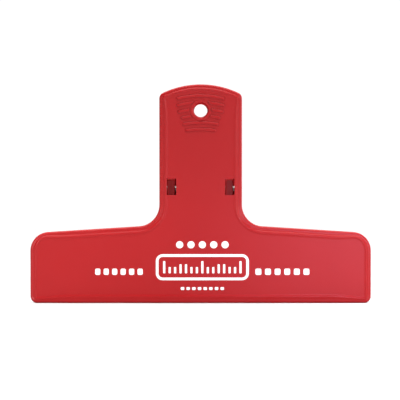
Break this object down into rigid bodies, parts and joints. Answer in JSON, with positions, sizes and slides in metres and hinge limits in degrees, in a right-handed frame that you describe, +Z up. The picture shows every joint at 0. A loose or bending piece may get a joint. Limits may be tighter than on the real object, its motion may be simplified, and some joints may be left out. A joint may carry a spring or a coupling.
{
  "type": "wide-jaw plastic clip",
  "caption": "Wide plastic jaw clip for paper and boards, with two T-shaped levers on a steel pin, ridged thumb handles with a hanging hole, and a torsion spring",
  "frame": {"origin": "middle of the closed jaw tips, on the plane where the two levers meet and on the surface that the clip stands on", "axes": "+X along the jaws to the right as seen from the front, +Y from the front lever to the rear lever, +Z up from the jaw tips to the handles"},
  "size_m": [0.15, 0.0312, 0.0962],
  "materials": {
    "red_plastic": "semi-gloss moulded red styrene plastic",
    "pin_steel": "drawn bright steel",
    "spring_steel": "plated spring wire"
  },
  "bodies": {
    "rear": {"rear_lever": "red_plastic", "torsion_spring": "spring_steel"},
    "front": {"front_lever": "red_plastic", "hinge_pin": "pin_steel"}
  },
  "joints": [
    {"name": "jaw_hinge", "type": "hinge", "parent": "rear", "child": "front", "pos_m": [0, 0, 0.05], "axis": [-1, 0, 0], "range_deg": [0, 27], "stiffness_Nm_per_rad": 0.43, "springref_deg": -40.11, "deforming": ["torsion_spring"]}
  ]
}
